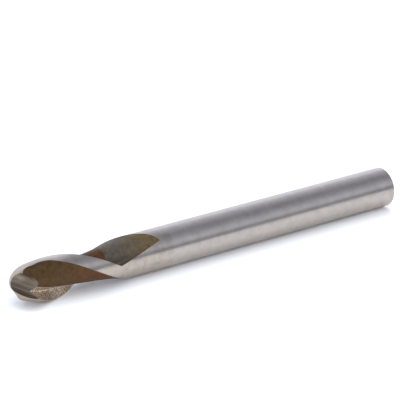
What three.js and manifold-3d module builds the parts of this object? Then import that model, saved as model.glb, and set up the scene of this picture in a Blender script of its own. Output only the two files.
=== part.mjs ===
// Two-flute ball-nose end mill, right-hand cut and right-hand helix, in millimetres.
//
// Frame: the tool lies along X with the nose towards -X. The origin is the centre of the
// shank's end face, and +Z is up. Angles about the axis run from +Y towards +Z.
//
// A fluted cutting head of high-speed steel is friction-welded to a plain round shank,
// and both are ground to one diameter, so the weld is a flat plane across the bar.

import * as THREE from 'three';
import { mergeVertices } from 'three/addons/utils/BufferGeometryUtils.js';
import Module from 'manifold-3d';

const wasm = await Module();
wasm.setup();

// Driving dimensions. Lengths are measured along the axis back from the nose.
const DIAMETER = 10;
const OVERALL_LENGTH = 110;
const HEAD_LENGTH = 42;
const SHANK_CHAMFER = 0.3;

// Helical flutes.
const HELIX_ANGLE = THREE.MathUtils.degToRad(30);
const FLUTE_COUNT = 2;
const EDGE_START = THREE.MathUtils.degToRad(-3.3);
const RAKE_ANGLE = THREE.MathUtils.degToRad(6);
const LAND_ANGLE = THREE.MathUtils.degToRad(40);
const FACE_DEPTH = 2.7;
const ROOT_RADIUS = 0.5;
const CORE_SWELL = 3.9;
const SWELL_LEAN = 1.1;

// Run-out: each flute narrows and shallows to a point where the wheel lifted out. Its
// heel side keeps to the helix nearly to the end, and its rake side turns back towards it.
const RUNOUT_START = 26.9;
const RUNOUT_END = 38.7;
const RISE_START = 24.3;
const RISE_EASE = 1.25;
const HEEL_DRIFT = THREE.MathUtils.degToRad(20);
const HEEL_DRIFT_EASE = 8;
const TIP_WIDTH = THREE.MathUtils.degToRad(0.5);

// Relief behind each cutting edge: full over the ball, gone a little way up the flutes.
const RELIEF_ANGLE = THREE.MathUtils.degToRad(10);
const RELIEF_WIDTH = THREE.MathUtils.degToRad(55);
const RELIEF_FULL = 3.5;
const RELIEF_GONE = 10.5;
const RELIEF_STEP_AHEAD = THREE.MathUtils.degToRad(12);

// Gash: the round-bottomed scoop that carries each cutting edge to the centre of the nose.
const GASH_RADIUS = 2.6;
const GASH_SLOPE = THREE.MathUtils.degToRad(46);
const GASH_TURN = THREE.MathUtils.degToRad(31);
const GASH_AHEAD = 2.7;
const GASH_OUT = 2.2;
const GASH_BACK = 2;
const GASH_LENGTH = 20;
const GASH_INNER_END = 12;

// Fineness of the faceted surfaces.
const ROUND_STEPS = 96;
const BALL_STEPS = 12;
const HEAD_RINGS = 14;
const HELIX_STEPS = 62;
const GASH_SIDES = 48;
const CURVE_STEPS = 10;
const JOIN_DISTANCE = 1e-4;

const RADIUS = DIAMETER / 2;
const NOSE_X = -OVERALL_LENGTH;
const WELD_X = NOSE_X + HEAD_LENGTH;
const TWIST_PER_MM = Math.tan(HELIX_ANGLE) / RADIUS;
const TOOTH_PITCH = 2 * Math.PI / FLUTE_COUNT;
const CLEAR_RADIUS = 1.7 * RADIUS;
const LEAD_IN = 1;
const LEAD_OUT = 0.6;

/** Angle of the first cutting edge at a distance back from the nose. */
function edgeAngle(back) {
  return EDGE_START + TWIST_PER_MM * back;
}

/** Closed solid from a geometry whose matching vertices are joined. */
function toSolid(geometry) {
  const bare = geometry.clone();
  bare.deleteAttribute('normal');
  bare.deleteAttribute('uv');
  const merged = mergeVertices(bare, JOIN_DISTANCE);
  return new wasm.Manifold(new wasm.Mesh({
    numProp: 3,
    vertProperties: new Float32Array(merged.attributes.position.array),
    triVerts: new Uint32Array(merged.index.array),
  }));
}

/** Geometry from a finished solid. */
function toGeometry(solid) {
  const mesh = solid.getMesh();
  const geometry = new THREE.BufferGeometry();
  geometry.setAttribute('position', new THREE.BufferAttribute(mesh.vertProperties, 3));
  geometry.setIndex(new THREE.BufferAttribute(mesh.triVerts, 1));
  geometry.computeVertexNormals();
  return geometry;
}

/** Turned body along X from a profile of (radius, x) points, starting and ending on the axis. */
function turned(profile) {
  const points = profile.map(([radius, x]) => new THREE.Vector2(radius, x));
  return new THREE.LatheGeometry(points, ROUND_STEPS).rotateZ(-Math.PI / 2);
}

/** Cross-section carried back along the axis, each of its points placed by placeAt. */
function sweep(shape, from, to, steps, placeAt) {
  const geometry = new THREE.ExtrudeGeometry(shape, {
    depth: to - from, steps, bevelEnabled: false, curveSegments: CURVE_STEPS,
  });
  const place = geometry.attributes.position;
  for (let i = 0; i < place.count; i += 1) {
    const back = from + place.getZ(i);
    const { angle, radius } = placeAt(place.getX(i), place.getY(i), back);
    place.setXYZ(i, NOSE_X + back, radius * Math.cos(angle), radius * Math.sin(angle));
  }
  return toSolid(geometry);
}

/** Blank of the head: a bar with a hemispherical nose, relieved behind each edge. */
function headBlank() {
  const profile = [[0, NOSE_X]];
  for (let i = 1; i <= BALL_STEPS; i += 1) {
    const polar = Math.PI / 2 * i / BALL_STEPS;
    profile.push([RADIUS * Math.sin(polar), NOSE_X + RADIUS * (1 - Math.cos(polar))]);
  }
  for (let i = 1; i <= HEAD_RINGS; i += 1) {
    profile.push([RADIUS, NOSE_X + RADIUS + (HEAD_LENGTH - RADIUS) * i / HEAD_RINGS]);
  }
  profile.push([0, WELD_X]);
  const geometry = turned(profile);
  relieve(geometry.attributes.position);
  return toSolid(geometry);
}

/** Draws the bar in behind each cutting edge, more and more up to the relief's width. */
function relieve(place) {
  const jump = RELIEF_STEP_AHEAD;
  for (let i = 0; i < place.count; i += 1) {
    const back = place.getX(i) - NOSE_X;
    const radial = Math.hypot(place.getY(i), place.getZ(i));
    if (radial < JOIN_DISTANCE || back > RELIEF_GONE) continue;
    const angle = Math.atan2(place.getZ(i), place.getY(i)) - edgeAngle(back);
    const behind = THREE.MathUtils.euclideanModulo(angle + jump, TOOTH_PITCH) - jump;
    const fade = 1 - THREE.MathUtils.smoothstep(back, RELIEF_FULL, RELIEF_GONE);
    const fallen = THREE.MathUtils.clamp(behind, 0, RELIEF_WIDTH);
    const drop = Math.tan(RELIEF_ANGLE) * fallen * radial / RADIUS * fade;
    const centre = NOSE_X + Math.max(back, RADIUS);
    const keep = 1 - drop;
    const x = centre + (place.getX(i) - centre) * keep;
    place.setXYZ(i, x, place.getY(i) * keep, place.getZ(i) * keep);
  }
}

/**
 * Section of one flute, with the cutting edge on +X and the flute on the -Y side: rake
 * face, small root, then a back that swells over the core and runs out to the heel.
 */
function fluteSection() {
  const root = RADIUS - FACE_DEPTH;
  const faceRise = Math.tan(RAKE_ANGLE);
  const faceFoot = root + ROOT_RADIUS;
  const heel = -(TOOTH_PITCH - LAND_ANGLE);
  const heelX = RADIUS * Math.cos(heel);
  const heelY = RADIUS * Math.sin(heel);
  const clearY = (RADIUS - CLEAR_RADIUS) * faceRise;
  const shape = new THREE.Shape();
  shape.moveTo(CLEAR_RADIUS, clearY);
  shape.lineTo(faceFoot, (RADIUS - faceFoot) * faceRise);
  shape.quadraticCurveTo(root, (RADIUS - root) * faceRise, root, -ROOT_RADIUS);
  shape.bezierCurveTo(root, -CORE_SWELL, -root / 2, -CORE_SWELL * SWELL_LEAN, heelX, heelY);
  shape.lineTo(CLEAR_RADIUS * Math.cos(heel), CLEAR_RADIUS * Math.sin(heel));
  shape.absarc(0, 0, CLEAR_RADIUS, heel, 2 * Math.atan2(clearY, CLEAR_RADIUS), false);
  return shape;
}

/** Share of the way from start to the end of the run-out, 0 before it begins. */
function runoutShare(back, start) {
  return Math.max(back - start, 0) / (RUNOUT_END - start);
}

/** Solid removed by one flute and its run-out. */
function fluteCutter(tooth) {
  const width = TOOTH_PITCH - LAND_ANGLE;
  const placeAt = (out, across, back) => {
    const narrowing = Math.min(runoutShare(back, RUNOUT_START), 1);
    const heelTurn = HEEL_DRIFT * narrowing ** HEEL_DRIFT_EASE;
    const faceTurn = width + (HEEL_DRIFT + TIP_WIDTH - width) * narrowing;
    const share = (Math.atan2(across, out) + width) / width;
    const heel = edgeAngle(back) + tooth * TOOTH_PITCH - width;
    const depth = RADIUS - Math.hypot(out, across);
    const shallow = 1 - runoutShare(back, RISE_START) ** RISE_EASE;
    return {
      angle: heel + heelTurn + (faceTurn - heelTurn) * share,
      radius: RADIUS - (depth > 0 ? depth * shallow : depth),
    };
  };
  return sweep(fluteSection(), -LEAD_IN, RUNOUT_END + LEAD_OUT, HELIX_STEPS, placeAt);
}

/** Solid removed by one gash. */
function gashCutter(tooth) {
  const bar = new THREE.CylinderGeometry(GASH_RADIUS, GASH_RADIUS, GASH_LENGTH, GASH_SIDES);
  bar.translate(0, GASH_LENGTH / 2 - GASH_INNER_END, 0);
  bar.rotateZ(-GASH_SLOPE);
  bar.translate(GASH_BACK, GASH_OUT, -GASH_AHEAD);
  bar.rotateX(EDGE_START + GASH_TURN + tooth * TOOTH_PITCH);
  bar.translate(NOSE_X, 0, 0);
  return toSolid(bar);
}

function headMaterial() {
  return new THREE.MeshStandardMaterial({ color: 0x8a7a66, roughness: 0.42, metalness: 1 });
}

function shankMaterial() {
  return new THREE.MeshStandardMaterial({ color: 0xb4b0ac, roughness: 0.34, metalness: 1 });
}

/** Fluted cutting head with its ball nose. */
function cuttingHead() {
  let solid = headBlank();
  for (let tooth = 0; tooth < FLUTE_COUNT; tooth += 1) {
    solid = solid.subtract(fluteCutter(tooth)).subtract(gashCutter(tooth));
  }
  const mesh = new THREE.Mesh(toGeometry(solid), headMaterial());
  mesh.name = 'cutting_head';
  return mesh;
}

/** Plain ground shank with a small chamfer at its end. */
function shank() {
  const profile = [
    [0, WELD_X],
    [RADIUS, WELD_X],
    [RADIUS, -SHANK_CHAMFER],
    [RADIUS - SHANK_CHAMFER, 0],
    [0, 0],
  ];
  const mesh = new THREE.Mesh(turned(profile), shankMaterial());
  mesh.name = 'shank';
  return mesh;
}

const endMill = new THREE.Group();
endMill.name = 'ball_nose_end_mill';
endMill.add(cuttingHead(), shank());

export default endMill;
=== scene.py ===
import math

import bmesh
import bpy
from mathutils import Matrix, Vector


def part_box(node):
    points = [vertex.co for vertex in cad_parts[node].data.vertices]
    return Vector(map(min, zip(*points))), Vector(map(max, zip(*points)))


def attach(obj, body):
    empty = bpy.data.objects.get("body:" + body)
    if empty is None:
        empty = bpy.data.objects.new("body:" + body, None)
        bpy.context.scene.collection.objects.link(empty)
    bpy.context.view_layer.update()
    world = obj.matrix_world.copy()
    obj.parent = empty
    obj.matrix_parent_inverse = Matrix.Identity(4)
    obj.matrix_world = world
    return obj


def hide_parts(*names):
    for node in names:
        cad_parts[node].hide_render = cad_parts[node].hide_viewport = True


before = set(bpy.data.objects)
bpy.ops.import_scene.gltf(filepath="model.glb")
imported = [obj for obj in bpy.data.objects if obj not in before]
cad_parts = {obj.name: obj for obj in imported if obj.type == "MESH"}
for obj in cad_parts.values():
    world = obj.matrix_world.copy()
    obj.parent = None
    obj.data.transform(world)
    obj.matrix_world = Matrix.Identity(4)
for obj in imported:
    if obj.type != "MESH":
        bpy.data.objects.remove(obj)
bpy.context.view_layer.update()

bl_info = {
    "name": "Ball-nose end mill",
    "version": (1, 0, 0),
    "blender": (4, 5, 0),
    "location": "View3D > Sidebar > End mill",
    "description": "Builds the fine head and shank of a two-flute ball-nose end mill",
    "category": "Add Mesh",
}

# The frame: the tool lies along X with its nose at the low end and its shank's end at 0.
HEAD_LOW, HEAD_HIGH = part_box("cutting_head")
SHANK_LOW, SHANK_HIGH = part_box("shank")
OVERALL_LENGTH = SHANK_HIGH.x - HEAD_LOW.x
DIAMETER = SHANK_HIGH.y - SHANK_LOW.y
HEAD_LENGTH = HEAD_HIGH.x - HEAD_LOW.x

MM = 0.001
TEETH = 2
TOOTH_PITCH = 2 * math.pi / TEETH
ROUND_STEPS = 192
SMOOTH_ANGLE = math.radians(24)
TOUCHING = 1e-6

# Flute: how far its cutter stands clear of the bar, and how its run-out eases to a tip.
CLEAR = 1.7
SWELL_LEAN = 1.1
HEEL_EASE = 8
RISE_EASE = 1.25
TIP_WIDTH = math.radians(0.5)
LEAD_IN = 1 * MM
LEAD_OUT = 0.6 * MM
FLUTE_RINGS = 190
FACE_STEPS = 8
BACK_STEPS = 36
OUTER_STEPS = 24

# Gash: a bar this long, with this much of it on the inner side of its place.
GASH_LENGTH = 20 * MM
GASH_INNER = 12 * MM
GASH_ROUND_STEPS = 128
GASH_STREAK_TURN = (0, 0, math.radians(40))

# Relief: where its step back up to the next edge lies, and the rings that carry its fade.
RELIEF_STEP_AHEAD = math.radians(12)
RELIEF_RINGS = 30
ON_AXIS = 1e-7

# Ground rake face, partly a painted highlight: how much of the flute's surface has it, from its
# edge inwards and a little way onto the floor.
RAKE_LENGTH_SHARE = 0.75
RAKE_REACH_SHARE = 1.1
RAKE_HIGHLIGHT_FLOOR = 1.2 * MM

# Stage.
FLOOR_SIZE = 6
FLOOR_GAP = 0.05 * MM
TOOL_MIDDLE = -0.055
SENSOR_WIDTH = 36
LENS = 188.09
CAMERA_PLACE = (-0.3283618, -0.3770859, 0.1919326)
CAMERA_AZIMUTH = math.radians(-35.7137)
CAMERA_ELEVATION = math.radians(21.4524)


class EndMillSize(bpy.types.PropertyGroup):
    """Sizes that the head and the shank share."""

    diameter: bpy.props.FloatProperty(
        name="Diameter", description="Diameter of the ball, the flutes and the shank",
        default=DIAMETER, unit="LENGTH", precision=5)
    overall_length: bpy.props.FloatProperty(
        name="Overall length", description="From the nose to the end of the shank",
        default=OVERALL_LENGTH, unit="LENGTH", precision=5)
    head_length: bpy.props.FloatProperty(
        name="Head length", description="From the nose back to the weld",
        default=HEAD_LENGTH, unit="LENGTH", precision=5)
    shank_chamfer: bpy.props.FloatProperty(
        name="Shank chamfer", description="Chamfer round the end of the shank",
        default=0.3 * MM, unit="LENGTH", precision=5)


class FluteShape(bpy.types.PropertyGroup):
    """Section, helix and run-out of a flute, with lengths measured back from the nose."""

    helix: bpy.props.FloatProperty(
        name="Helix angle", description="Angle of the cutting edge to the axis",
        default=math.radians(30), subtype="ANGLE")
    edge_start: bpy.props.FloatProperty(
        name="Edge start", description="Angle of the first cutting edge at the nose",
        default=math.radians(-3.3), subtype="ANGLE")
    rake: bpy.props.FloatProperty(
        name="Rake angle", description="Lean of the face under the cutting edge",
        default=math.radians(6), subtype="ANGLE")
    land: bpy.props.FloatProperty(
        name="Land", description="Angle that each tooth takes up round the bar",
        default=math.radians(40), subtype="ANGLE")
    depth: bpy.props.FloatProperty(
        name="Depth", description="Depth of the rake face",
        default=2.7 * MM, unit="LENGTH", precision=5)
    root: bpy.props.FloatProperty(
        name="Root radius", description="Rounding at the foot of the rake face",
        default=0.5 * MM, unit="LENGTH", precision=5)
    swell: bpy.props.FloatProperty(
        name="Core swell", description="How far the back of the flute swells over the core",
        default=3.9 * MM, unit="LENGTH", precision=5)
    narrows_from: bpy.props.FloatProperty(
        name="Narrows from", description="Where the run-out starts to narrow",
        default=26.9 * MM, unit="LENGTH", precision=5)
    rises_from: bpy.props.FloatProperty(
        name="Rises from", description="Where the run-out starts to shallow",
        default=24.3 * MM, unit="LENGTH", precision=5)
    ends_at: bpy.props.FloatProperty(
        name="Ends at", description="Tip of the run-out",
        default=38.7 * MM, unit="LENGTH", precision=5)
    heel_drift: bpy.props.FloatProperty(
        name="Heel drift", description="Turn of the heel side towards the tip of the run-out",
        default=math.radians(20), subtype="ANGLE")


class GrindShape(bpy.types.PropertyGroup):
    """Relief behind the cutting edges and the gash across the nose."""

    relief: bpy.props.FloatProperty(
        name="Relief angle", description="Fall of the land behind the edge",
        default=math.radians(10), subtype="ANGLE")
    relief_width: bpy.props.FloatProperty(
        name="Relief width", description="How far round behind the edge the relief falls",
        default=math.radians(55), subtype="ANGLE")
    relief_full: bpy.props.FloatProperty(
        name="Relief full to", description="Where the relief starts to fade",
        default=3.5 * MM, unit="LENGTH", precision=5)
    relief_gone: bpy.props.FloatProperty(
        name="Relief gone by", description="Where the land is cylindrical again",
        default=10.5 * MM, unit="LENGTH", precision=5)
    gash_radius: bpy.props.FloatProperty(
        name="Gash radius", description="Radius of the gash's round bottom",
        default=2.6 * MM, unit="LENGTH", precision=5)
    gash_slope: bpy.props.FloatProperty(
        name="Gash slope", description="Lean of the gash along the axis",
        default=math.radians(46), subtype="ANGLE")
    gash_turn: bpy.props.FloatProperty(
        name="Gash turn", description="Turn of the gash past the start of its edge",
        default=math.radians(31), subtype="ANGLE")
    gash_offset: bpy.props.FloatVectorProperty(
        name="Gash offset", description="Place of the gash: back, out and ahead of the edge",
        default=(2.0 * MM, 2.2 * MM, 2.7 * MM), subtype="TRANSLATION", precision=5)


class FinishColours(bpy.types.PropertyGroup):
    """Colours of the ground and the oxidised steel."""

    ground: bpy.props.FloatVectorProperty(
        name="Ground steel", description="Bright ground steel of the shank and the lands",
        default=(0.45, 0.41, 0.38), subtype="COLOR")
    gold: bpy.props.FloatVectorProperty(
        name="Gold film", description="Thin heat film on the ground faces of the nose",
        default=(0.36, 0.28, 0.19), subtype="COLOR")
    oxide_brown: bpy.props.FloatVectorProperty(
        name="Oxide brown", description="Steam oxide in the flutes",
        default=(0.094, 0.054, 0.020), subtype="COLOR")
    oxide_red: bpy.props.FloatVectorProperty(
        name="Oxide red", description="Redder oxide near the end of the flutes",
        default=(0.112, 0.050, 0.020), subtype="COLOR")
    oxide_olive: bpy.props.FloatVectorProperty(
        name="Oxide olive", description="Olive oxide in the run-outs",
        default=(0.165, 0.118, 0.058), subtype="COLOR")
    oxide_grey: bpy.props.FloatVectorProperty(
        name="Oxide grey", description="Greyer oxide where the run-outs begin",
        default=(0.125, 0.102, 0.078), subtype="COLOR")


# ---------------------------------------------------------------- modelling helpers

def start_mesh():
    """Edit mode on the active object with everything deselected."""
    bpy.ops.object.mode_set(mode="EDIT")
    bpy.ops.mesh.select_mode(type="VERT")
    bpy.ops.mesh.select_all(action="DESELECT")


def select_verts(test):
    """Selects, in edit mode, the vertices whose place passes the test."""
    mesh = bmesh.from_edit_mesh(bpy.context.object.data)
    for vert in mesh.verts:
        vert.select_set(test(vert.co))
    mesh.select_flush(True)
    bmesh.update_edit_mesh(bpy.context.object.data)


def adopt(name):
    """Names the new active object, and applies its place and turn to its mesh."""
    piece = bpy.context.object
    piece.name = name
    piece.data.name = name
    bpy.ops.object.transform_apply(location=True, rotation=True, scale=True)
    return piece


def activate(piece):
    """Makes the piece the only selected object."""
    bpy.ops.object.select_all(action="DESELECT")
    piece.select_set(True)
    bpy.context.view_layer.objects.active = piece


def cut(piece, cutter):
    """Cuts the cutter out of the piece, whose cut faces take the cutter's materials."""
    activate(piece)
    modifier = piece.modifiers.new("cut", "BOOLEAN")
    modifier.operation = "DIFFERENCE"
    modifier.solver = "MANIFOLD"
    modifier.material_mode = "TRANSFER"
    modifier.object = cutter
    bpy.ops.object.modifier_apply(modifier=modifier.name)
    bpy.data.objects.remove(cutter)


def smoothstep(value, low, high):
    share = min(max((value - low) / (high - low), 0), 1)
    return share * share * (3 - 2 * share)


# ---------------------------------------------------------------- shape of the head

def edge_angle(back, size, flute):
    """Angle of the first cutting edge at a distance back from the nose."""
    return flute.edge_start + math.tan(flute.helix) * back / (size.diameter / 2)


def bezier(points, steps):
    """Points along a Bezier curve of any degree, without its first point."""
    curve = []
    for step in range(1, steps + 1):
        share = step / steps
        level = [Vector(point) for point in points]
        while len(level) > 1:
            level = [a.lerp(b, share) for a, b in zip(level, level[1:])]
        curve.append(level[0])
    return curve


def flute_section(size, flute):
    """Outline of a flute, with its edge on +X and the flute on the -Y side."""
    radius = size.diameter / 2
    clear = CLEAR * radius
    root = radius - flute.depth
    foot = root + flute.root
    rise = math.tan(flute.rake)
    heel_angle = -(TOOTH_PITCH - flute.land)
    heel = (radius * math.cos(heel_angle), radius * math.sin(heel_angle))
    top = Vector((clear, (radius - clear) * rise))
    face_foot = Vector((foot, (radius - foot) * rise))
    outline = [top.lerp(face_foot, step / FACE_STEPS) for step in range(FACE_STEPS + 1)]
    outline += bezier(
        [face_foot, (root, (radius - root) * rise), (root, -flute.root)], FACE_STEPS)
    outline += bezier(
        [(root, -flute.root), (root, -flute.swell),
         (-root / 2, -SWELL_LEAN * flute.swell), heel],
        BACK_STEPS)
    last = 2 * math.atan2(top.y, top.x)
    for step in range(OUTER_STEPS + 1):
        angle = heel_angle + (last - heel_angle) * step / OUTER_STEPS
        outline.append(Vector((clear * math.cos(angle), clear * math.sin(angle))))
    return outline


def place_in_flute(point, back, size, flute):
    """Angle and radius of a point of the flute's section at a distance from the nose."""
    radius = size.diameter / 2
    width = TOOTH_PITCH - flute.land
    narrowing = max(back - flute.narrows_from, 0) / (flute.ends_at - flute.narrows_from)
    rise = max(back - flute.rises_from, 0) / (flute.ends_at - flute.rises_from)
    heel_turn = flute.heel_drift * min(narrowing, 1) ** HEEL_EASE
    face_turn = width + (flute.heel_drift + TIP_WIDTH - width) * min(narrowing, 1)
    across = (math.atan2(point.y, point.x) + width) / width
    turn = heel_turn + (face_turn - heel_turn) * across
    depth = radius - point.length
    if depth > 0:
        depth *= 1 - rise ** RISE_EASE
    return edge_angle(back, size, flute) - width + turn, radius - depth


def flute_cutter(size, flute, nose, materials):
    """The space of one flute: a section carried back along the helix."""
    outline = flute_section(size, flute)
    length = flute.ends_at + LEAD_IN + LEAD_OUT
    bpy.ops.object.select_all(action="DESELECT")
    bpy.ops.mesh.primitive_circle_add(
        vertices=len(outline), radius=size.diameter, fill_type="NGON",
        rotation=(0, math.pi / 2, 0))
    cutter = adopt("flute_space")
    for vert, point in zip(cutter.data.vertices, outline):
        vert.co = (nose - LEAD_IN, point.x, point.y)
    start_mesh()
    bpy.ops.mesh.select_all(action="SELECT")
    for _ in range(FLUTE_RINGS):
        bpy.ops.mesh.extrude_region_move(
            TRANSFORM_OT_translate={"value": (length / FLUTE_RINGS, 0, 0)})
    bpy.ops.object.mode_set(mode="OBJECT")
    for vert in cutter.data.vertices:
        back = vert.co.x - nose
        angle, reach = place_in_flute(Vector(vert.co.yz), back, size, flute)
        vert.co.y = reach * math.cos(angle)
        vert.co.z = reach * math.sin(angle)
    for material in materials:
        cutter.data.materials.append(material)
    return cutter


def gash_cutter(size, flute, grind, nose, material):
    """The space of one gash: a round bar across the nose in front of a cutting edge."""
    bpy.ops.object.select_all(action="DESELECT")
    bpy.ops.mesh.primitive_cylinder_add(
        vertices=GASH_ROUND_STEPS, radius=grind.gash_radius, depth=GASH_LENGTH,
        rotation=(math.pi / 2, 0, 0))
    cutter = adopt("gash_space")
    back, out, ahead = grind.gash_offset
    place = (
        Matrix.Translation((nose, 0, 0))
        @ Matrix.Rotation(flute.edge_start + grind.gash_turn, 4, "X")
        @ Matrix.Translation((back, out, -ahead))
        @ Matrix.Rotation(-grind.gash_slope, 4, "Z")
        @ Matrix.Translation((0, GASH_LENGTH / 2 - GASH_INNER, 0))
    )
    cutter.matrix_world = place
    bpy.ops.object.transform_apply(location=True, rotation=True, scale=True)
    cutter.data.materials.append(material)
    return cutter


def second_tooth(cutter):
    """A copy of a cutter, with its own mesh, turned to the opposite tooth."""
    activate(cutter)
    bpy.ops.object.duplicate()
    copy = bpy.context.object
    copy.matrix_world = Matrix.Rotation(TOOTH_PITCH, 4, "X")
    bpy.ops.object.transform_apply(location=True, rotation=True, scale=True)
    return copy


def relieve(piece, size, flute, grind, nose):
    """Draws the bar in behind each cutting edge, over the width of the relief."""
    radius = size.diameter / 2
    for vert in piece.data.vertices:
        back = vert.co.x - nose
        radial = math.hypot(vert.co.y, vert.co.z)
        if radial < ON_AXIS or back > grind.relief_gone:
            continue
        turned = math.atan2(vert.co.z, vert.co.y) - edge_angle(back, size, flute)
        behind = (turned + RELIEF_STEP_AHEAD) % TOOTH_PITCH - RELIEF_STEP_AHEAD
        behind = min(max(behind, 0), grind.relief_width)
        fade = 1 - smoothstep(back, grind.relief_full, grind.relief_gone)
        keep = 1 - math.tan(grind.relief) * behind * radial / radius * fade
        centre = nose + max(back, radius)
        vert.co = (centre + (vert.co.x - centre) * keep, vert.co.y * keep, vert.co.z * keep)


def head_blank(size, flute, grind, nose, material):
    """A bar with a hemispherical nose, relieved behind each cutting edge."""
    radius = size.diameter / 2
    bpy.ops.object.select_all(action="DESELECT")
    bpy.ops.mesh.primitive_uv_sphere_add(
        segments=ROUND_STEPS, ring_count=ROUND_STEPS // 2, radius=radius,
        location=(nose + radius, 0, 0), rotation=(0, math.pi / 2, 0))
    blank = adopt("cutting_head_fine")
    start_mesh()
    select_verts(lambda place: place.x > nose + radius + TOUCHING)
    bpy.ops.mesh.delete(type="VERT")
    start_mesh()
    select_verts(lambda place: place.x > nose + radius - TOUCHING)
    relieved = grind.relief_gone - radius
    for _ in range(RELIEF_RINGS):
        bpy.ops.mesh.extrude_region_move(
            TRANSFORM_OT_translate={"value": (relieved / RELIEF_RINGS, 0, 0)})
    bpy.ops.mesh.extrude_region_move(
        TRANSFORM_OT_translate={"value": (size.head_length - grind.relief_gone, 0, 0)})
    bpy.ops.mesh.edge_face_add()
    bpy.ops.mesh.select_all(action="SELECT")
    bpy.ops.mesh.normals_make_consistent(inside=False)
    bpy.ops.object.mode_set(mode="OBJECT")
    relieve(blank, size, flute, grind, nose)
    blank.data.materials.append(material)
    return blank


# ---------------------------------------------------------------- shader helpers

class Nodes:
    """Short calls for adding and joining a node tree's nodes."""

    def __init__(self, tree):
        self.tree = tree

    def add(self, kind, inputs=None, **settings):
        node = self.tree.nodes.new(kind)
        for key, value in settings.items():
            setattr(node, key, value)
        for key, value in (inputs or {}).items():
            self.feed(node.inputs[key], value)
        return node

    def feed(self, socket, value):
        if isinstance(value, bpy.types.NodeSocket):
            self.tree.links.new(value, socket)
        else:
            socket.default_value = value

    def math(self, operation, a, b=0.0, clamp=False):
        node = self.add("ShaderNodeMath", {0: a, 1: b}, operation=operation, use_clamp=clamp)
        return node.outputs[0]

    def mix(self, share, a, b):
        node = self.add("ShaderNodeMix", data_type="RGBA")
        self.feed(node.inputs[0], share)
        self.feed(node.inputs[6], a)
        self.feed(node.inputs[7], b)
        return node.outputs[2]

    def ramp(self, value, stops):
        """A smooth mask or colour from (place, colour) stops."""
        node = self.add("ShaderNodeValToRGB", {0: value})
        elements = node.color_ramp.elements
        elements.remove(elements[1])
        elements[0].position = stops[0][0]
        for place, _ in stops[1:]:
            elements.new(place)
        for index, (place, colour) in enumerate(stops):
            elements[index].position = place
            elements[index].color = (*colour, 1)
        return node.outputs[0]

    def range(self, value, low, high, to_low=0.0, to_high=1.0):
        node = self.add("ShaderNodeMapRange", {0: value, 1: low, 2: high, 3: to_low, 4: to_high})
        return node.outputs[0]


def new_group(name, inputs, outputs):
    """Empty shader node group with named sockets, as (tree, helper, inputs, output node)."""
    tree = bpy.data.node_groups.new(name, "ShaderNodeTree")
    for label, kind, default in inputs:
        socket = tree.interface.new_socket(label, in_out="INPUT", socket_type=kind)
        socket.default_value = default
    for label, kind in outputs:
        tree.interface.new_socket(label, in_out="OUTPUT", socket_type=kind)
    nodes = Nodes(tree)
    entry = nodes.add("NodeGroupInput")
    leave = nodes.add("NodeGroupOutput")
    return tree, nodes, entry.outputs, leave.inputs


def along_bar():
    """Group: place along the bar."""
    name = "along the bar"
    if name in bpy.data.node_groups:
        return bpy.data.node_groups[name]
    tree, nodes, _, leave = new_group(name, [], [("Along", "NodeSocketFloat")])
    place = nodes.add("ShaderNodeTexCoord").outputs["Object"]
    split = nodes.add("ShaderNodeSeparateXYZ", {0: place}).outputs
    nodes.feed(leave["Along"], split[0])
    return tree


def grinding_group():
    """Group: fine marks drawn out along one direction, with a mottle over them."""
    name = "grinding marks"
    if name in bpy.data.node_groups:
        return bpy.data.node_groups[name]
    tree, nodes, entry, leave = new_group(
        name,
        [("Stretch", "NodeSocketVector", (1, 1, 1)), ("Turn", "NodeSocketVector", (0, 0, 0)),
         ("Mark Scale", "NodeSocketFloat", 1.0), ("Mottle Scale", "NodeSocketFloat", 500.0)],
        [("Marks", "NodeSocketFloat"), ("Mottle", "NodeSocketFloat")])
    place = nodes.add("ShaderNodeTexCoord").outputs["Object"]
    turned = nodes.add(
        "ShaderNodeMapping", {"Vector": place, "Rotation": entry["Turn"]}).outputs[0]
    drawn = nodes.add("ShaderNodeVectorMath", {0: turned, 1: entry["Stretch"]},
                      operation="MULTIPLY").outputs[0]
    marks = nodes.add("ShaderNodeTexNoise", {
        "Vector": drawn, "Scale": entry["Mark Scale"], "Detail": 3.0, "Roughness": 0.6})
    mottle = nodes.add("ShaderNodeTexNoise", {
        "Vector": place, "Scale": entry["Mottle Scale"], "Detail": 4.0, "Roughness": 0.62})
    nodes.feed(leave["Marks"], marks.outputs[0])
    nodes.feed(leave["Mottle"], mottle.outputs[0])
    return tree


def use_group(nodes, group, **inputs):
    node = nodes.add("ShaderNodeGroup", node_tree=group)
    for key, value in inputs.items():
        nodes.feed(node.inputs[key.replace("_", " ")], value)
    return node.outputs


def new_material(name, preview):
    """A material with a Principled BSDF, as (material, helper, shader)."""
    material = bpy.data.materials.new(name)
    material.use_nodes = True
    material.diffuse_color = (*preview, 1)
    nodes = Nodes(material.node_tree)
    return material, nodes, material.node_tree.nodes["Principled BSDF"]


def bump(nodes, shader, height, strength, distance):
    node = nodes.add("ShaderNodeBump", {
        "Height": height, "Strength": strength, "Distance": distance})
    nodes.feed(shader.inputs["Normal"], node.outputs[0])


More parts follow.
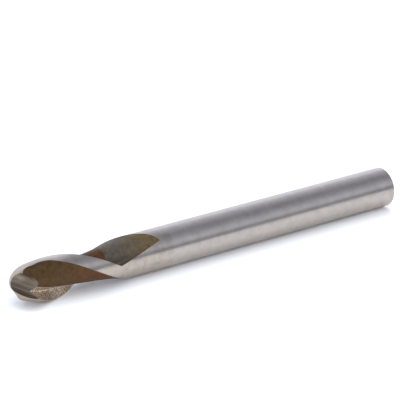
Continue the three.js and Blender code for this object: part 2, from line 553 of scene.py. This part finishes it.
def ground_steel(name, colours, contrast, film, film_from=0.0, film_to=0.0):
    """Bright steel with grinding marks round the bar, and a gold film that fades along it."""
    material, nodes, shader = new_material(name, colours.ground)
    marks = use_group(nodes, grinding_group(), Stretch=(6000, 220, 220), Mottle_Scale=420.0)
    bright = tuple(c * (1 + contrast / 2) for c in colours.ground)
    dull = tuple(c * (1 - contrast / 2) for c in colours.ground)
    tone = nodes.math("ADD", nodes.math("MULTIPLY", marks["Marks"], 0.15),
                      nodes.math("MULTIPLY", marks["Mottle"], 0.85))
    base = nodes.ramp(tone, [(0.34, dull), (0.64, bright)])
    cover = nodes.range(marks["Mottle"], 0.38, 0.64, 0.4 * film, film)
    if film_to > film_from:
        bar = use_group(nodes, along_bar())
        cover = nodes.math(
            "MULTIPLY", cover,
            nodes.range(bar["Along"], film_from, film_to, 1, 0.4))
    nodes.feed(shader.inputs["Base Color"], nodes.mix(cover, base, (*colours.gold, 1)))
    nodes.feed(shader.inputs["Roughness"], nodes.range(marks["Marks"], 0.25, 0.75, 0.27, 0.33))
    shader.inputs["Metallic"].default_value = 1.0
    bump(nodes, shader, marks["Marks"], 0.02, 0.00001)
    return material


def oxide_steel(name, colours, nose, flute):
    """Brown steam oxide, redder towards the run-out and olive to grey inside it."""
    material, nodes, shader = new_material(name, colours.oxide_brown)
    bar = use_group(nodes, along_bar())
    marks = use_group(
        nodes, grinding_group(), Stretch=(900, 2600, 2600), Turn=(0, 0, math.radians(60)),
        Mottle_Scale=900.0)
    share = nodes.range(bar["Along"], nose, nose + flute.ends_at)
    start = flute.rises_from / flute.ends_at
    hue = nodes.ramp(share, [
        (0.0, colours.oxide_brown), (0.3, colours.oxide_brown), (start - 0.12, colours.oxide_red),
        (start, colours.oxide_red), (start + 0.012, colours.oxide_grey),
        (start + 0.12, colours.oxide_grey), (0.9, colours.oxide_olive)])
    shade = nodes.range(marks["Mottle"], 0.3, 0.7, 0.7, 1.35)
    toned = nodes.add("ShaderNodeVectorMath", {0: hue, 1: shade}, operation="MULTIPLY")
    nodes.feed(shader.inputs["Base Color"], toned.outputs[0])
    nodes.feed(shader.inputs["Roughness"], nodes.range(marks["Mottle"], 0.3, 0.7, 0.5, 0.66))
    shader.inputs["Metallic"].default_value = 0.75
    bump(nodes, shader, marks["Marks"], 0.15, 0.00003)
    return material


def gash_steel(name, colours):
    """Steel with coarse streaks along the gash, light to nearly black."""
    material, nodes, shader = new_material(name, colours.gold)
    marks = use_group(
        nodes, grinding_group(), Stretch=(90, 1500, 90), Turn=GASH_STREAK_TURN,
        Mottle_Scale=1200.0)
    base = nodes.ramp(marks["Marks"], [
        (0.32, (0.13, 0.10, 0.066)), (0.5, (0.19, 0.15, 0.11)), (0.68, (0.33, 0.285, 0.23))])
    nodes.feed(shader.inputs["Base Color"], base)
    nodes.feed(shader.inputs["Roughness"], nodes.range(marks["Mottle"], 0.3, 0.7, 0.34, 0.5))
    shader.inputs["Metallic"].default_value = 0.9
    bump(nodes, shader, marks["Marks"], 0.2, 0.00003)
    return material


def rake_steel_and_highlight(name, colours):
    """Ground rake face: pinkish white with a gold-brown speckle, whose pale white and bright
    specks are partly a painted highlight.
    """
    material, nodes, shader = new_material(name, colours.gold)
    marks = use_group(nodes, grinding_group(), Stretch=(2500, 2500, 2500), Mottle_Scale=3200.0)
    # The pale end of this speckle is partly a painted highlight on the ground steel.
    base = nodes.ramp(marks["Mottle"], [
        (0.38, (0.28, 0.175, 0.09)), (0.5, (0.48, 0.37, 0.255)), (0.62, (0.78, 0.70, 0.63))])
    nodes.feed(shader.inputs["Base Color"], base)
    nodes.feed(shader.inputs["Roughness"], nodes.range(marks["Mottle"], 0.3, 0.7, 0.5, 0.32))
    shader.inputs["Metallic"].default_value = 0.9
    bump(nodes, shader, marks["Mottle"], 0.3, 0.00004)
    return material


# ---------------------------------------------------------------- operators

class ENDMILL_OT_head(bpy.types.Operator):
    """Builds the fluted cutting head with its ball nose"""

    bl_idname = "endmill.head"
    bl_label = "Cutting head"
    bl_options = {"REGISTER", "UNDO"}

    def execute(self, context):
        scene = context.scene
        size, flute = scene.endmill_size, scene.endmill_flute
        grind, colours = scene.endmill_grind, scene.endmill_colours
        nose = -size.overall_length
        ground = ground_steel(
            "ground_land", colours, 0.5, 0.95, nose + 2 * MM, nose + 12 * MM)
        oxide = oxide_steel("flute_oxide", colours, nose, flute)
        # Rake face finish: ground steel, whose pale white is partly a painted highlight.
        rake = rake_steel_and_highlight("ground_rake_face_and_highlight", colours)
        streaked = gash_steel("ground_gash", colours)
        head = head_blank(size, flute, grind, nose, ground)
        flutes = flute_cutter(size, flute, nose, [oxide, rake])
        paint_rake_face_and_highlight(flutes, size, flute, nose)
        gash = gash_cutter(size, flute, grind, nose, streaked)
        for cutter in (flutes, second_tooth(flutes), gash, second_tooth(gash)):
            cut(head, cutter)
        activate(head)
        bpy.ops.object.shade_smooth_by_angle(angle=SMOOTH_ANGLE)
        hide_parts("cutting_head")
        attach(head, "root")
        return {"FINISHED"}


def paint_rake_face_and_highlight(cutter, size, flute, nose):
    """Gives the cutter's rake face and floor the ground finish, partly a painted highlight, up to
    the run-out.
    """
    radius = size.diameter / 2
    for face in cutter.data.polygons:
        back = face.center.x - nose
        turned = math.atan2(face.center.z, face.center.y) - edge_angle(back, size, flute)
        turned = (turned + math.pi) % (2 * math.pi) - math.pi
        reach = math.hypot(face.center.y, face.center.z)
        if back < flute.rises_from * RAKE_LENGTH_SHARE and reach < radius * RAKE_REACH_SHARE:
            across = reach * math.sin(turned)
            # The bright finish reaches a little way onto the flute's floor too, as a painted
            # highlight.
            if across > -RAKE_HIGHLIGHT_FLOOR and reach * math.cos(turned) > 0:
                face.material_index = 1


class ENDMILL_OT_shank(bpy.types.Operator):
    """Builds the plain ground shank with its chamfered end"""

    bl_idname = "endmill.shank"
    bl_label = "Shank"
    bl_options = {"REGISTER", "UNDO"}

    def execute(self, context):
        size, colours = context.scene.endmill_size, context.scene.endmill_colours
        length = size.overall_length - size.head_length
        bpy.ops.object.select_all(action="DESELECT")
        bpy.ops.mesh.primitive_cylinder_add(
            vertices=ROUND_STEPS, radius=size.diameter / 2, depth=length,
            location=(-length / 2, 0, 0), rotation=(0, math.pi / 2, 0))
        shank = adopt("shank_fine")
        start_mesh()
        select_verts(lambda place: place.x > -TOUCHING)
        bpy.ops.mesh.bevel(
            offset=size.shank_chamfer, offset_type="WIDTH", segments=1, affect="EDGES")
        bpy.ops.object.mode_set(mode="OBJECT")
        shank.data.materials.append(ground_steel("ground_shank", colours, 0.2, 0.12))
        bpy.ops.object.shade_smooth_by_angle(angle=SMOOTH_ANGLE)
        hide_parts("shank")
        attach(shank, "root")
        return {"FINISHED"}


def soft_light(name, angle, distance, width, length, power):
    """A long soft light beside the tool, at an angle round the bar from +Y towards +Z."""
    place = Vector((TOOL_MIDDLE, distance * math.cos(angle), distance * math.sin(angle)))
    aim = Vector((TOOL_MIDDLE, 0, 0)) - place
    bpy.ops.object.light_add(type="AREA", location=place)
    light = bpy.context.object
    light.name = name
    light.rotation_euler = aim.to_track_quat("-Z", "Y").to_euler()
    turn = light.rotation_euler.to_matrix()
    across = turn.transposed() @ Vector((1, 0, 0))
    light.data.shape = "RECTANGLE"
    lengthwise = abs(across.x) > abs(across.y)
    light.data.size = length if lengthwise else width
    light.data.size_y = width if lengthwise else length
    light.data.energy = power
    return light


# Brightness of the studio by angle round the tool, from +Y through +Z to -Y. The steps are
# set so that the round shank shows soft bands. Below the tool it stays as at +Y.
STUDIO_TONES = (
    (0, 1.15), (30, 1.2), (47, 1.0), (64, 0.76), (79, 0.58), (93, 0.41), (105, 0.44),
    (118, 0.52), (130, 0.70), (141, 0.88), (153, 0.98), (160, 0.90), (167, 0.22), (180, 0.10),
)
STUDIO_TINT = (0.92, 0.99, 1.16)


def studio_world():
    """A room that is bright behind the tool, dim overhead and dark low in front."""
    world = bpy.data.worlds.new("studio")
    world.use_nodes = True
    nodes = Nodes(world.node_tree)
    direction = nodes.add("ShaderNodeTexCoord").outputs["Generated"]
    split = nodes.add("ShaderNodeSeparateXYZ", {0: direction}).outputs
    angle = nodes.math("ARCTAN2", split[2], split[1])
    share = nodes.math("DIVIDE", angle, math.pi, clamp=True)
    brightest = max(tone for _, tone in STUDIO_TONES)
    stops = [
        (degrees / 180, tuple(tone / brightest * tint for tint in STUDIO_TINT))
        for degrees, tone in STUDIO_TONES]
    background = world.node_tree.nodes["Background"]
    background.inputs["Strength"].default_value = brightest
    nodes.feed(background.inputs["Color"], nodes.ramp(share, stops))
    return world


class ENDMILL_OT_stage(bpy.types.Operator):
    """Adds the pale floor, the soft lights and the camera"""

    bl_idname = "endmill.stage"
    bl_label = "Stage"
    bl_options = {"REGISTER", "UNDO"}

    def execute(self, context):
        size = context.scene.endmill_size
        radius = size.diameter / 2
        bpy.ops.object.select_all(action="DESELECT")
        bpy.ops.mesh.primitive_plane_add(
            size=FLOOR_SIZE, location=(0, 0, -radius - FLOOR_GAP))
        floor = bpy.context.object
        floor.name = "pale_floor"
        material, nodes, shader = new_material("pale_floor", (0.9, 0.9, 0.9))
        shader.inputs["Base Color"].default_value = (0.92, 0.92, 0.92, 1)
        shader.inputs["Roughness"].default_value = 0.9
        shader.inputs["Specular IOR Level"].default_value = 0.1
        floor.data.materials.append(material)

        context.scene.world = studio_world()
        context.scene.view_settings.view_transform = "Standard"
        soft_light("back_softbox", math.radians(28), 0.6, 0.3, 1.4, 0.35)
        overhead = soft_light("floor_light", math.radians(90), 1.2, 1.4, 1.4, 11.0)
        overhead.visible_glossy = False
        fill = soft_light("floor_fill", math.radians(148), 0.7, 0.5, 1.4, 3.2)
        fill.visible_glossy = False

        camera_data = bpy.data.cameras.new("camera")
        camera_data.sensor_width = SENSOR_WIDTH
        camera_data.lens = LENS
        camera = bpy.data.objects.new("camera", camera_data)
        context.scene.collection.objects.link(camera)
        back = Vector((
            math.sin(CAMERA_AZIMUTH) * math.cos(CAMERA_ELEVATION),
            -math.cos(CAMERA_AZIMUTH) * math.cos(CAMERA_ELEVATION),
            math.sin(CAMERA_ELEVATION)))
        camera.location = CAMERA_PLACE
        camera.rotation_euler = back.to_track_quat("Z", "Y").to_euler()
        camera_data.clip_start = 0.01
        context.scene.camera = camera
        return {"FINISHED"}


class ENDMILL_PT_panel(bpy.types.Panel):
    """Lists the steps that build the end mill"""

    bl_idname = "ENDMILL_PT_panel"
    bl_label = "End mill"
    bl_space_type = "VIEW_3D"
    bl_region_type = "UI"
    bl_category = "End mill"

    def draw(self, context):
        for operator in OPERATORS:
            self.layout.operator(operator.bl_idname)


OPERATORS = (ENDMILL_OT_head, ENDMILL_OT_shank, ENDMILL_OT_stage)
GROUPS = {
    "endmill_size": EndMillSize,
    "endmill_flute": FluteShape,
    "endmill_grind": GrindShape,
    "endmill_colours": FinishColours,
}


def register():
    for group in GROUPS.values():
        bpy.utils.register_class(group)
    for name, group in GROUPS.items():
        setattr(bpy.types.Scene, name, bpy.props.PointerProperty(type=group))
    for operator in OPERATORS:
        bpy.utils.register_class(operator)
    bpy.utils.register_class(ENDMILL_PT_panel)


def unregister():
    bpy.utils.unregister_class(ENDMILL_PT_panel)
    for operator in reversed(OPERATORS):
        bpy.utils.unregister_class(operator)
    for name in GROUPS:
        delattr(bpy.types.Scene, name)
    for group in reversed(list(GROUPS.values())):
        bpy.utils.unregister_class(group)


def main():
    register()
    bpy.ops.endmill.head()
    bpy.ops.endmill.shank()
    bpy.ops.endmill.stage()


if __name__ == "__main__":
    main()
